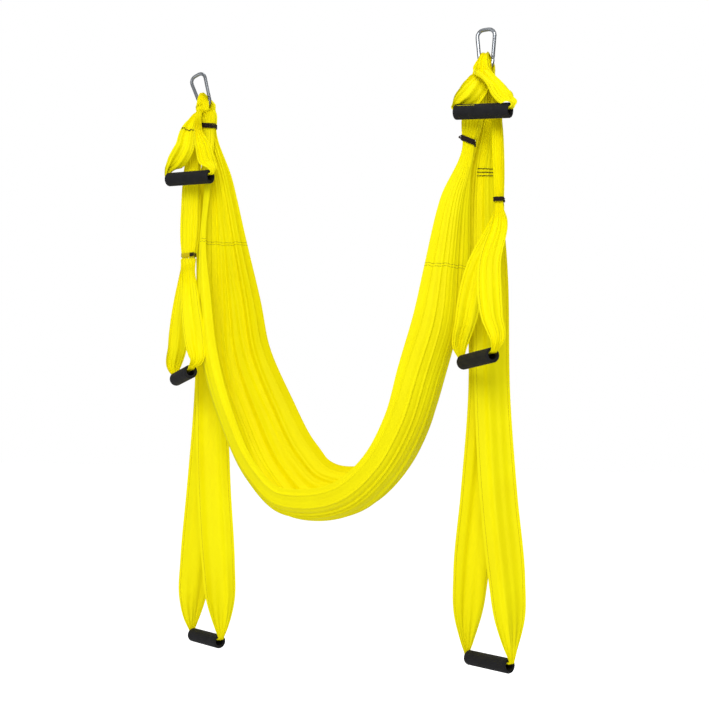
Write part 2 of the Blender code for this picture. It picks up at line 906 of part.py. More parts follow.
def leg_rows(top, axis, centre, turn_deg, slope_deg, sign, width, shares):
    """Rows from the top loop's last station to the grip's mouth."""
    spread_end = grip_length / 2.0 + mouth_reach + mouth_bend_radius
    reach = abs(top[1] - axis[1])
    clear = (top[0], axis[1] + (top[1] - axis[1]) * clear_share, axis[2] - reach)
    rows = [top, (*clear, *top[3:])]
    drop = axis[2] - centre[2]
    end_rise = sign * spread_end * math.sin(math.radians(slope_deg))
    for down, drift, spread, wide, turn, twist in shares:
        angle_deg = -90.0 + (turn_deg + 90.0) * turn
        way = grip_direction(angle_deg) * sign * spread * spread_end
        drifts = np.array([min(drift, 1.0) ** 4, drift])
        flat = axis[:2] * (1.0 - drifts) + centre[:2] * drifts + way[:2]
        fold = fold_depth * wide
        rows.append(
            (
                flat[0],
                flat[1],
                axis[2] - drop * down + end_rise * down**slope_onset,
                width * wide / 2.0,
                strap_thickness / 2.0,
                angle_deg + 90.0 + twist,
                fold,
            )
        )
    return rows


def strap_stations(axis, hole, loop_width, centre, turn_deg, slope_deg, width, shares):
    """One closed line: over the top, down the near leg, through the grip and
    up the far leg."""
    half = strap_thickness / 2.0
    over = top_loop(axis, hole + half, loop_width / 2.0, half, loop_steps)
    near_bend = mouth_bend(centre, turn_deg, slope_deg, 1.0)
    far_bend = mouth_bend(centre, turn_deg, slope_deg, -1.0)
    near = leg_rows(over[0], axis, centre, turn_deg, slope_deg, 1.0, width, shares)
    far = leg_rows(over[-1], axis, centre, turn_deg, slope_deg, -1.0, width, shares)
    near.append(near_bend[0])
    far.append(far_bend[0])
    near_leg = list(smooth_rows(near, leg_steps + 2, end_crowding)[1:-1])
    far_leg = list(smooth_rows(far, leg_steps + 2, end_crowding)[1:-1])
    stations = list(over[::-1]) + near_leg + near_bend + far_bend[::-1] + far_leg[::-1]
    return stations


def strap(side, kind, top, centre, turn_deg, slope_deg, width, shares, collection):
    """top holds the loop's axis, its hole's radius and the loop's width."""
    name = side + "_" + kind + "_strap"
    stations = strap_stations(*top, centre, turn_deg, slope_deg, width, shares)
    rings = ribbon_rings(stations, strap_columns, True)
    loft(name, rings, True, collection, taffeta_material(name))
    hand_grip(side, kind, centre, turn_deg, slope_deg, collection)


def short_strap(side, collection):
    axis, hole = loop_axis(side, "short")
    centre = grip_point(side, short_beside, short_behind, short_drop)
    strap(
        side,
        "short",
        (axis, hole, strap_loop_width),
        centre,
        short_turn_deg,
        short_slope_deg[side],
        short_width,
        short_leg_shares,
        collection,
    )


def long_strap(side, collection):
    axis, hole = loop_axis(side, "long")
    centre = grip_point(side, long_beside, long_behind, long_drop)
    strap(
        side,
        "long",
        (axis, hole, strap_loop_width),
        centre,
        long_turn_deg,
        long_slope_deg[side],
        long_width,
        long_leg_shares,
        collection,
    )


def medium_binding_centre(side):
    x = side_sign(side) * hook_spacing / 2.0 + medium_binding_beside[side]
    return np.array([x, medium_binding_behind, -medium_binding_drop[side]])


def medium_hinge(side):
    """Axis on which the lower loop swings, just under the binding."""
    centre = medium_binding_centre(side)
    radius = strap_thickness + gap
    return centre - np.array([0.0, 0.0, binding_height / 2.0 + gap + radius])


def medium_strap(side, collection):
    centre = grip_point(side, medium_beside, medium_behind, medium_drop)
    loop_width = medium_binding_width[side] * lower_loop_share
    strap(
        side,
        "medium",
        (medium_hinge(side), gap, loop_width),
        centre,
        medium_turn_deg,
        medium_slope_deg[side],
        medium_width,
        medium_leg_shares,
        collection,
    )


def hanger(name, axis, hole, loop_width, thickness, binding, wide, shares, collection):
    """Gathered cloth that goes over the bow and ends in its binding."""
    half = thickness / 2.0
    over = top_loop(axis, hole + half, loop_width / 2.0, half, loop_steps)
    legs = []
    for end, sign in ((over[0], -1.0), (over[-1], 1.0)):
        y_near = sign * (half + gap)
        reach = abs(end[1] - axis[1])
        clear = (end[0], axis[1] + sign * reach * clear_share, axis[2] - reach)
        rows = [end, (*clear, *end[3:])]
        for share, across_share, width_share in shares:
            x = axis[0] + (binding[0] - axis[0]) * across_share
            y = y_near + binding[1] * share
            z = clear[2] + (binding[2] - clear[2]) * share
            rows.append((x, y, z, wide / 2.0 * width_share, half, 0.0, 0.0))
        legs.append(list(smooth_rows(rows, leg_steps)[1:]))
    stations = legs[0][::-1] + over + legs[1]
    rings = ribbon_rings(stations, strap_columns, False)
    loft(name, rings, False, collection, taffeta_material(name))


def medium_hanger(side, collection):
    axis, hole = loop_axis(side, "medium")
    centre = medium_binding_centre(side)
    foot = centre - np.array([0.0, 0.0, binding_height / 2.0])
    hanger(
        side + "_medium_hanger",
        axis,
        hole,
        strap_loop_width,
        strap_thickness,
        foot,
        medium_binding_width[side],
        medium_hanger_leg_shares,
        collection,
    )


def hammock_binding_centre(side):
    x = side_sign(side) * hook_spacing / 2.0 + hammock_binding_beside[side]
    return np.array([x, 0.0, -hammock_binding_drop[side]])


def hammock_end(side, collection):
    """Gathered end of the hammock: over the bow and into its binding."""
    axis, hole = loop_axis(side, "hammock")
    hanger(
        side + "_hammock_end",
        axis,
        hole,
        hammock_loop_width,
        hammock_thickness,
        hammock_binding_centre(side) + np.array([0.0, 0.0, seam_gap / 2.0]),
        hammock_binding_width[side],
        hammock_end_leg_shares,
        collection,
    )


def hammock_binding(side, collection):
    half_x = hammock_binding_width[side] / 2.0 + binding_clearance
    half_y = hammock_thickness + binding_looseness
    name = side + "_hammock_binding"
    binding_band(name, hammock_binding_centre(side), half_x, half_y, 0.0, collection)


def binding_band(name, centre, half_x, half_y, lean_deg, collection):
    """Band of thread wound round a gathered bundle: an oval sleeve."""
    points = []
    for a, b, z in (
        (half_x, half_y, -binding_height / 2.0),
        (half_x + binding_wall, half_y + binding_wall, -binding_height / 2.0),
        (half_x + binding_wall, half_y + binding_wall, binding_height / 2.0),
        (half_x, half_y, binding_height / 2.0),
    ):
        for i in range(binding_sides):
            angle = 2.0 * math.pi * i / binding_sides
            c, s = math.cos(angle), math.sin(angle)
            x = a * math.copysign(math.sqrt(abs(c)), c)
            y = b * math.copysign(math.sqrt(abs(s)), s)
            points.append((x, y, z))
    faces = []
    for ring in range(4):
        for i in range(binding_sides):
            k = (i + 1) % binding_sides
            up = (ring + 1) % 4
            faces.append(
                (
                    ring * binding_sides + i,
                    ring * binding_sides + k,
                    up * binding_sides + k,
                    up * binding_sides + i,
                )
            )
    made = add_mesh(name, points, faces, collection, thread_material(name))
    point_outwards(made)
    shade(made)
    made.matrix_world = Matrix.Translation(centre) @ Matrix.Rotation(math.radians(lean_deg), 4, "Y")
    return made


def medium_binding(side, collection):
    half_x = medium_binding_width[side] / 2.0 + binding_clearance
    half_y = strap_thickness + binding_looseness
    name = side + "_medium_binding"
    binding_band(name, medium_binding_centre(side), half_x, half_y, 0.0, collection)


# Hammock


def trough_rows():
    """Rows of the trough: place, width, near and far wall heights, opening."""
    half = hook_spacing / 2.0
    rows = []
    for side in side_names:
        centre = hammock_binding_centre(side)
        bundle = hammock_binding_width[side]
        low = centre[2] - binding_height / 2.0
        line = centre[0] + side_sign(side) * bundle / 2.0
        wide = hammock_thickness + cloth_thickness * end_thickness_share
        ends = [
            (line, 0.0, centre[2] - seam_gap / 2.0, wide, bundle, bundle, 0.0),
            (line, 0.0, low, wide, bundle, bundle, 0.0),
        ]
        if side == "left":
            rows += ends
            for (x, z), (open_wide, near, far) in zip(hammock_line_shares, hammock_open_shares):
                rows.append(
                    (
                        x * half,
                        0.0,
                        -z * hammock_drop,
                        open_wide * trough_width,
                        near * near_wall_height,
                        far * far_wall_height,
                        open_wide,
                    )
                )
        else:
            rows += ends[::-1]
    return rows


def spaced(rows, start, end, count):
    """Rows at even distances between two distances along a dense line."""
    where = line_distance(rows)
    wanted = np.linspace(start, end, count)
    return np.stack([np.interp(wanted, where, rows[:, k]) for k in range(rows.shape[1])], axis=1)


def line_distance(rows):
    step = np.linalg.norm(np.diff(rows[:, :3], axis=0), axis=1)
    return np.concatenate([[0.0], np.cumsum(step)])


def trough_rings(rows, tangents, columns):
    """Deep U sections: the outer wall from the near rim to the far rim, then
    the inner wall back. Folds run along the cloth as a wave in the wall."""
    across = np.linspace(-1.0, 1.0, columns)
    turn = across * math.pi / 2.0
    rise_share = (1.0 - np.cos(turn)) ** trough_roundness
    inward = np.stack([-tangents[:, 2], tangents[:, 1], tangents[:, 0]], axis=1)
    half = rows[:, 3] / 2.0
    height = np.where(across[None, :] < 0.0, rows[:, 4][:, None], rows[:, 5][:, None])
    wave = np.sin(across * math.pi * trough_fold_count) * (1.0 - across**4)
    ripple = trough_fold_depth * rows[:, 6][:, None] * wave
    wall = np.minimum(cloth_thickness, half * trough_wall_share)
    outer_b = half[:, None] * np.sin(turn)
    outer_n = height * rise_share + ripple
    inner_b = (half - wall)[:, None] * np.sin(turn)
    inner_n = wall[:, None] + (height - wall[:, None]) * rise_share + ripple
    centre = rows[:, None, :3]
    front = np.array([0.0, 1.0, 0.0])
    outer = centre + outer_b[:, :, None] * front + outer_n[:, :, None] * inward[:, None, :]
    inner = centre + inner_b[:, :, None] * front + inner_n[:, :, None] * inward[:, None, :]
    return np.concatenate([outer, inner[:, ::-1]], axis=1)


def hammock(collection):
    rows = smooth_rows(trough_rows(), dense_steps)
    where = line_distance(rows)
    middle = int(np.argmin(rows[:, 2]))
    left_cut = np.interp(-hammock_seam_drop["left"], rows[:middle, 2][::-1], where[:middle][::-1])
    right_cut = np.interp(-hammock_seam_drop["right"], rows[middle:, 2], where[middle:])
    half = seam_gap / 2.0
    for name, start, end, count in (
        ("left_hammock_panel", 0.0, left_cut - half, end_panel_steps),
        ("middle_hammock_panel", left_cut + half, right_cut - half, middle_panel_steps),
        ("right_hammock_panel", right_cut + half, where[-1], end_panel_steps),
    ):
        picked = spaced(rows, start, end, count)
        tangents = np.gradient(rows[:, :3], where, axis=0)
        reached = line_distance(picked) + start
        along = np.stack([np.interp(reached, where, tangents[:, k]) for k in range(3)], axis=1)
        along /= np.linalg.norm(along, axis=1)[:, None]
        rings = trough_rings(picked, along, hammock_columns)
        loft(name, rings, False, collection, taffeta_material(name))


def main():
    clear_scene()
    scene = bpy.context.scene
    collection = bpy.data.collections.new("aerial_hammock")
    cutters = bpy.data.collections.new("cutters")
    scene.collection.children.link(collection)
    scene.collection.children.link(cutters)
    for side in side_names:
        snap_hook(side, collection, cutters)
        short_strap(side, collection)
        medium_hanger(side, collection)
        medium_binding(side, collection)
        medium_strap(side, collection)
        long_strap(side, collection)
        hammock_end(side, collection)
        hammock_binding(side, collection)
    hammock(collection)


main()
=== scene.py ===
import math
import bpy
import numpy as np
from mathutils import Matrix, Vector


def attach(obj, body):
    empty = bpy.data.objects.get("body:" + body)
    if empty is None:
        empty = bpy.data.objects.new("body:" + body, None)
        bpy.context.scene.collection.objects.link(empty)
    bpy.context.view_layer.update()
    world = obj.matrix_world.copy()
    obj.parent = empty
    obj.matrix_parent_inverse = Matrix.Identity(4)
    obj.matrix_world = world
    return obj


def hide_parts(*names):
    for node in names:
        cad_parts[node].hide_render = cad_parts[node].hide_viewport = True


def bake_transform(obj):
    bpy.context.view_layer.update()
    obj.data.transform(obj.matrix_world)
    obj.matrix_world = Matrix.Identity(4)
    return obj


# Aerial hammock in yellow nylon taffeta: a gathered cloth hung as a U between
# two snap hooks, with three looped straps and foam grips on each hook.

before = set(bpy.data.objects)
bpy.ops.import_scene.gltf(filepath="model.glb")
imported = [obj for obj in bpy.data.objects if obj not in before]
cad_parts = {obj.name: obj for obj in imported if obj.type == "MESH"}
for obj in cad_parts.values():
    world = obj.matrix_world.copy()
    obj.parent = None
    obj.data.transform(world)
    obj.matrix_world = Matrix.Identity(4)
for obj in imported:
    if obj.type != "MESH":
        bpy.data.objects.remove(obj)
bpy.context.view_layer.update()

mm = 0.001
sides = {"left": -1.0, "right": 1.0}
hook = {"x": 391.25, "bowZ": -86.5}    # from the middle, and the lower bow's centre line
inMetres = np.array([mm, mm, mm, mm, mm, 1, 1])    # rows of place, width, fold, angle, fine pleats


# camera

camera = bpy.data.objects.new("camera", bpy.data.cameras.new("camera"))
bpy.context.scene.collection.objects.link(camera)
camera.location = (1.36125, -2.6701, -0.936)
camera.rotation_euler = (math.radians(93.33), 0.0, math.radians(26.2))
camera.data.lens = 61.24
camera.data.sensor_width = 36
camera.data.clip_end = 60
bpy.context.scene.camera = camera
bpy.context.scene.view_settings.view_transform = "Standard"


# helpers

def srgb(code):
    value = np.array([int(code[i:i + 2], 16) for i in (1, 3, 5)]) / 255
    value = np.where(value <= 0.04045, value / 12.92, ((value + 0.055) / 1.055) ** 2.4)
    return (*[float(v) for v in value], 1.0)


def addNode(tree, kind, settings=None, inputs=None):
    node = tree.nodes.new("ShaderNode" + kind)
    for key, value in (settings or {}).items():
        setattr(node, key, value)
    for key, value in (inputs or {}).items():
        if isinstance(value, bpy.types.NodeSocket):
            tree.links.new(value, node.inputs[key])
        else:
            node.inputs[key].default_value = value
    return node


def newMaterial(name, **values):
    material = bpy.data.materials.new(name)
    material.use_nodes = True
    shader = material.node_tree.nodes["Principled BSDF"]
    for key, value in values.items():
        shader.inputs[key.replace("_", " ")].default_value = value
    return material, material.node_tree, shader


def ramp(tree, source, stops):
    node = addNode(tree, "ValToRGB", None, {"Fac": source})
    while len(node.color_ramp.elements) < len(stops):
        node.color_ramp.elements.new(0.5)
    for element, (place, colour) in zip(node.color_ramp.elements, stops):
        element.position = place
        element.color = srgb(colour)
    return node.outputs["Color"]


def mathNode(tree, operation, first, second):
    return addNode(tree, "Math", {"operation": operation}, {0: first, 1: second}).outputs["Value"]


def smoothStep(x, low, high):
    t = np.clip((x - low) / (high - low), 0, 1)
    return t * t * (3 - 2 * t)


def addMesh(name, points, faces, material, body):
    mesh = bpy.data.meshes.new(name)
    mesh.from_pydata(np.asarray(points).reshape(-1, 3).tolist(), [], np.asarray(faces).tolist())
    mesh.update()
    mesh.shade_smooth()
    mesh.materials.append(material)
    piece = bpy.data.objects.new(name, mesh)
    bpy.context.scene.collection.objects.link(piece)
    if body:
        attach(piece, body)
    return piece


def gridFaces(rows, columns, closeRows=False, closeColumns=False):
    i = np.arange(rows if closeRows else rows - 1)[:, None]
    j = np.arange(columns if closeColumns else columns - 1)[None, :]
    k = (i + 1) % rows
    m = (j + 1) % columns
    faces = np.stack([i * columns + j, i * columns + m, k * columns + m, k * columns + j], axis=-1)
    return faces.reshape(-1, 4)


# materials

hem = {"width": 0.009, "row": 0.0075, "thread": 0.0005, "pitch": 1 / 330, "share": 0.7}    # metres


def taffeta():
    # plain-woven nylon, calendered: even weave, soft creases, hems with a row of stitches
    material, tree, shader = newMaterial("nylonTaffeta", Roughness=0.6, Specular_IOR_Level=0.1)
    coords = addNode(tree, "TexCoord").outputs["Object"]
    cloud = addNode(tree, "TexNoise", None, {"Vector": coords, "Scale": 9, "Detail": 3}).outputs["Fac"]
    tint = ramp(tree, cloud, [(0.3, "#FAEE00"), (0.7, "#FEF500")])
    uv = addNode(tree, "UVMap", {"uv_map": "cloth"}).outputs["UV"]
    fine = addNode(tree, "Mapping", None, {"Vector": uv, "Scale": (1800, 1800, 1)}).outputs["Vector"]
    weave = addNode(tree, "TexChecker", None, {"Vector": fine, "Scale": 1}).outputs["Fac"]
    stretched = addNode(tree, "Mapping", None, {"Vector": uv, "Scale": (26, 4, 1)}).outputs["Vector"]
    crease = addNode(
        tree, "TexNoise", {"noise_dimensions": "2D"},
        {"Vector": stretched, "Scale": 1, "Detail": 5, "Roughness": 0.62, "Distortion": 0.8},
    ).outputs["Fac"]
    edge = addNode(tree, "UVMap", {"uv_map": "hem"}).outputs["UV"]
    split = addNode(tree, "SeparateXYZ", None, {"Vector": edge})
    away = split.outputs["X"]    # distance from the nearest selvedge
    fold = mathNode(tree, "LESS_THAN", away, hem["width"])
    row = mathNode(tree, "COMPARE", away, hem["row"])
    row.node.inputs[2].default_value = hem["thread"]
    pitches = mathNode(tree, "MULTIPLY", split.outputs["Y"], 1 / hem["pitch"])
    dash = mathNode(tree, "LESS_THAN", mathNode(tree, "FRACT", pitches, 0), hem["share"])
    stitch = mathNode(tree, "MULTIPLY", row, dash)
    mix = addNode(tree, "Mix", {"data_type": "RGBA"}, {"Factor": stitch})
    tree.links.new(tint, mix.inputs[6])
    mix.inputs[7].default_value = srgb("#B39B00")
    tree.links.new(mix.outputs[2], shader.inputs["Base Color"])
    low = addNode(tree, "Bump", None, {"Strength": 0.2, "Distance": 0.003, "Height": crease})
    turned = addNode(
        tree, "Bump", None,
        {"Strength": 0.6, "Distance": 0.0004, "Height": mathNode(tree, "ADD", fold, stitch),
         "Normal": low.outputs["Normal"]},
    )
    high = addNode(
        tree, "Bump", None,
        {"Strength": 0.08, "Distance": 0.0002, "Height": weave, "Normal": turned.outputs["Normal"]},
    )
    tree.links.new(high.outputs["Normal"], shader.inputs["Normal"])
    return material


def foam():
    # closed-cell rubber foam, ground to a matt skin with open pores
    material, tree, shader = newMaterial("closedCellFoam", Roughness=0.8, Specular_IOR_Level=0.25)
    coords = addNode(tree, "TexCoord").outputs["Object"]
    pores = addNode(tree, "TexVoronoi", None, {"Vector": coords, "Scale": 900}).outputs["Distance"]
    cloud = addNode(tree, "TexNoise", None, {"Vector": coords, "Scale": 60, "Detail": 4}).outputs["Fac"]
    tint = ramp(tree, cloud, [(0.3, "#151517"), (0.7, "#1E1E21")])
    tree.links.new(tint, shader.inputs["Base Color"])
    bump = addNode(tree, "Bump", None, {"Strength": 0.3, "Distance": 0.0004, "Height": pores})
    tree.links.new(bump.outputs["Normal"], shader.inputs["Normal"])
    return material


def tubePlastic():
    # extruded plastic core tube, matt black with faint draw lines
    material, tree, shader = newMaterial("extrudedPlastic", Roughness=0.5)
    shader.inputs["Base Color"].default_value = srgb("#151516")
    coords = addNode(tree, "TexCoord").outputs["Object"]
    drawn = addNode(tree, "TexNoise", None, {"Vector": coords, "Scale": 400, "Detail": 2}).outputs["Fac"]
    bump = addNode(tree, "Bump", None, {"Strength": 0.2, "Distance": 0.0002, "Height": drawn})
    tree.links.new(bump.outputs["Normal"], shader.inputs["Normal"])
    return material


def steel():
    # zinc-plated steel rod, polished, handled
    material, tree, shader = newMaterial("platedSteel", Metallic=1.0)
    coords = addNode(tree, "TexCoord").outputs["Object"]
    cloud = addNode(tree, "TexNoise", None, {"Vector": coords, "Scale": 90, "Detail": 4}).outputs["Fac"]
    tint = ramp(tree, cloud, [(0.3, "#8D9196"), (0.7, "#9CA0A5")])
    tree.links.new(tint, shader.inputs["Base Color"])
    rough = addNode(
        tree, "MapRange", None,
        {"Value": cloud, "From Min": 0.3, "From Max": 0.7, "To Min": 0.28, "To Max": 0.36},
    ).outputs["Result"]
    tree.links.new(rough, shader.inputs["Roughness"])
    marks = addNode(tree, "TexNoise", None, {"Vector": coords, "Scale": 160, "Detail": 1}).outputs["Fac"]
    bump = addNode(tree, "Bump", None, {"Strength": 0.02, "Distance": 0.0002, "Height": marks})
    tree.links.new(bump.outputs["Normal"], shader.inputs["Normal"])
    return material


def thread(name, dark, light):
    # twisted polyester sewing thread
    material, tree, shader = newMaterial(name, Roughness=0.75, Specular_IOR_Level=0.3)
    coords = addNode(tree, "TexCoord").outputs["Object"]
    fibres = addNode(tree, "TexNoise", None, {"Vector": coords, "Scale": 700, "Detail": 3}).outputs["Fac"]
    tree.links.new(ramp(tree, fibres, [(0.3, dark), (0.7, light)]), shader.inputs["Base Color"])
    bump = addNode(tree, "Bump", None, {"Strength": 0.5, "Distance": 0.0003, "Height": fibres})
    tree.links.new(bump.outputs["Normal"], shader.inputs["Normal"])
    return material


cloth = taffeta()
sleeve = foam()
coreTube = tubePlastic()
metal = steel()
darkThread = thread("boundThread", "#150C0B", "#2A1916")
seamThread = thread("seamThread", "#5E4E00", "#7E6B00")
yellowThread = thread("yellowThread", "#C9B400", "#E5D200")


# floor, background and lights

def stageSetup():
    floorZ = -2.05
    corners = [(-30, -30, floorZ), (30, -30, floorZ), (30, 30, floorZ), (-30, 30, floorZ)]
    mesh = bpy.data.meshes.new("floor")
    mesh.from_pydata(corners, [], [(0, 1, 2, 3)])
    floor = bpy.data.objects.new("floor", mesh)
    bpy.context.scene.collection.objects.link(floor)
    material, tree, shader = newMaterial("paleFloor", Roughness=0.9, Specular_IOR_Level=0.1)
    shader.inputs["Base Color"].default_value = srgb("#F4F4F4")
    shader.inputs["Emission Color"].default_value = (1, 1, 1, 1)
    cameraRay = addNode(tree, "LightPath").outputs["Is Camera Ray"]
    tree.links.new(mathNode(tree, "MULTIPLY", cameraRay, 0.75), shader.inputs["Emission Strength"])
    mesh.materials.append(material)
    world = bpy.data.worlds.new("studio")
    bpy.context.scene.world = world
    world.use_nodes = True
    tree = world.node_tree
    soft = tree.nodes["Background"]
    soft.inputs["Color"].default_value = (1, 1, 1, 1)
    soft.inputs["Strength"].default_value = 0.38
    white = addNode(tree, "Background", None, {"Color": (1, 1, 1, 1), "Strength": 1.0})
    rays = addNode(tree, "LightPath").outputs["Is Camera Ray"]
    mix = addNode(tree, "MixShader", None, {"Fac": rays})
    tree.links.new(soft.outputs["Background"], mix.inputs[1])
    tree.links.new(white.outputs["Background"], mix.inputs[2])
    tree.links.new(mix.outputs["Shader"], tree.nodes["World Output"].inputs["Surface"])
    for name, place, size, power in (
        ("key", (1.4, -3.5, 0.8), 1.8, 76),
        ("fill", (-2.2, -3.0, -0.6), 2.2, 18),
        ("top", (0.0, -0.4, 2.6), 2.0, 28),
        ("back", (-1.2, 3.6, 0.6), 2.4, 30),
    ):
        light = bpy.data.lights.new(name, "AREA")
        light.size = size
        light.energy = power
        lamp = bpy.data.objects.new(name, light)
        bpy.context.scene.collection.objects.link(lamp)
        lamp.location = place
        aim = Vector((0, 0, -0.7)) - Vector(place)
        lamp.rotation_euler = aim.to_track_quat("-Z", "Y").to_euler()


stageSetup()
print("stage and materials made")


# cloth strips: a pleated ribbon along a path

def smoothRows(rows, count, crowding=0.0):
    # cubic through the rows by distance; crowding draws the samples to both ends
    rows = np.asarray(rows, float)
    step = np.linalg.norm(np.diff(rows[:, :3], axis=0), axis=1)
    where = np.concatenate([[0], np.cumsum(step)])
    slope = np.gradient(rows, where, axis=0)
    t = np.linspace(0, 1, count)
    wanted = where[-1] * (t - crowding * np.sin(2 * math.pi * t) / (2 * math.pi))
    cell = np.clip(np.searchsorted(where, wanted, side="right") - 1, 0, len(where) - 2)
    span = where[cell + 1] - where[cell]
    t = ((wanted - where[cell]) / span)[:, None]
    span = span[:, None]
    first = (2 * t**3 - 3 * t**2 + 1) * rows[cell] + (t**3 - 2 * t**2 + t) * span * slope[cell]
    second = (3 * t**2 - 2 * t**3) * rows[cell + 1] + (t**3 - t**2) * span * slope[cell + 1]
    return first + second


def stripGrid(rows, cut, columns, coarse, fine, phase, closed):
    # rows: x y z, width, fold limit, compass angle of the width, share of fine pleats.
    # The wave's height makes each section as long as the cloth's cut, up to the fold limit:
    # sum of sqrt(dx^2 + (height dWave)^2) = cut, by halving.
    rows = np.asarray(rows, float)
    centre = rows[:, :3]
    if closed:
        along = np.roll(centre, -1, axis=0) - np.roll(centre, 1, axis=0)
    else:
        along = np.gradient(centre, axis=0)
    along /= np.linalg.norm(along, axis=1)[:, None]
    angle = np.radians(rows[:, 5])
    side = np.stack([np.cos(angle), np.sin(angle), 0 * angle], axis=1)
    side -= along * np.sum(side * along, axis=1)[:, None]
    side /= np.linalg.norm(side, axis=1)[:, None]
    out = np.cross(along, side)
    u = np.linspace(0, 1, columns)[None, :]
    step = np.linalg.norm(np.diff(centre, axis=0), axis=1)
    where = np.concatenate([[0], np.cumsum(step)])[:, None]
    warp = u + 0.035 * np.sin(2 * math.pi * u + phase) + 0.012 * np.sin(where * 9 + phase)
    broad = np.sin(2 * math.pi * coarse * warp + phase) + 0.35 * np.sin(2 * math.pi * coarse * 2.3 * warp)
    sharp = np.sin(2 * math.pi * fine * warp + 2 * phase)
    sharp = sharp + 0.3 * np.sin(2 * math.pi * fine * 0.37 * warp + phase)
    share = rows[:, 6][:, None]
    wave = (1 - share) * broad / 1.35 + share * sharp / 1.3
    width = rows[:, 3][:, None]
    across = (u - 0.5) * width
    low = np.zeros((len(rows), 1))
    high = np.ones((len(rows), 1)) * rows[:, 4][:, None]
    dx = width / (columns - 1)
    dy = np.diff(wave, axis=1)
    for _ in range(24):
        middle = (low + high) / 2
        length = np.sqrt(dx**2 + (middle * dy) ** 2).sum(axis=1)[:, None]
        low = np.where(length < cut, middle, low)
        high = np.where(length < cut, high, middle)
    lift = low * wave
    return centre[:, None] + side[:, None] * across[..., None] + out[:, None] * lift[..., None]


def lengthAlong(grid):
    step = np.linalg.norm(np.diff(grid.mean(axis=1), axis=0), axis=1)
    return np.concatenate([[0], np.cumsum(step)])


def addUv(piece, grid, cut):
    # two maps in metres: cloth is across the cut and along; hem is the distance from the
    # nearest edge and along
    count, columns = grid.shape[:2]
    u = np.tile(np.linspace(0, cut, columns), (count, 1)).ravel()
    v = np.repeat(lengthAlong(grid), columns)
    loops = np.empty(len(piece.data.loops), np.int64)
    piece.data.loops.foreach_get("vertex_index", loops)
    for name, first in (("cloth", u), ("hem", np.minimum(u, cut - u))):
        layer = piece.data.uv_layers.new(name=name)
        flat = np.stack([first[loops], v[loops]], axis=1).astype(np.float32)
        layer.data.foreach_set("uv", flat.ravel())


def clothPiece(name, grid, cut, body, closed=False):
    piece = addMesh(name, grid, gridFaces(grid.shape[0], grid.shape[1], closed), cloth, body)
    addUv(piece, grid, cut)
    return piece


# stitches: dashes of thread along a line on the cloth

def stitches(name, line, material, body, pitch=4.0, length=2.6, radius=0.45, slant=0.0):
    # each stitch is a round rod of four rings, the end ones drawn in; slant tips every
    # second one for a zigzag
    line = np.asarray(line)
    step = np.linalg.norm(np.diff(line, axis=0), axis=1)
    where = np.concatenate([[0], np.cumsum(step)])
    starts = np.arange(pitch * mm * 0.3, where[-1] - length * mm, pitch * mm)
    rings = np.array([0.0, 0.15, 0.85, 1.0]) * length * mm
    wanted = starts[:, None] + rings[None, :]
    path = np.stack([np.interp(wanted, where, line[:, k]) for k in range(3)], axis=-1)
    tip = np.where(np.arange(len(starts)) % 2 == 0, slant, -slant)[:, None] * mm
    path[..., 2] += tip * (rings / rings[-1] - 0.5)[None, :]
    along = path[:, -1] - path[:, 0]
    along /= np.linalg.norm(along, axis=1)[:, None]
    side = np.cross(along, [0, 0, 1.0])
    side /= np.linalg.norm(side, axis=1)[:, None]
    up = np.cross(side, along)
    angle = np.linspace(0, 2 * math.pi, 6, endpoint=False)
    ring = side[:, None] * np.cos(angle)[None, :, None] + up[:, None] * np.sin(angle)[None, :, None]
    size = np.array([0.3, 1.0, 1.0, 0.3]) * radius * mm
    points = path[:, :, None] + ring[:, None] * size[None, :, None, None]
    one = gridFaces(4, 6, False, True)
    faces = (one[None] + 24 * np.arange(len(starts))[:, None, None]).reshape(-1, 4)
    piece = addMesh(name, points, faces, material, body)
    return piece


# grips in mm and degrees: middle, turn about the vertical, slope; aside pushes the near and
# far leg along X; near and far are leg rows as in straps, where the legs have their own

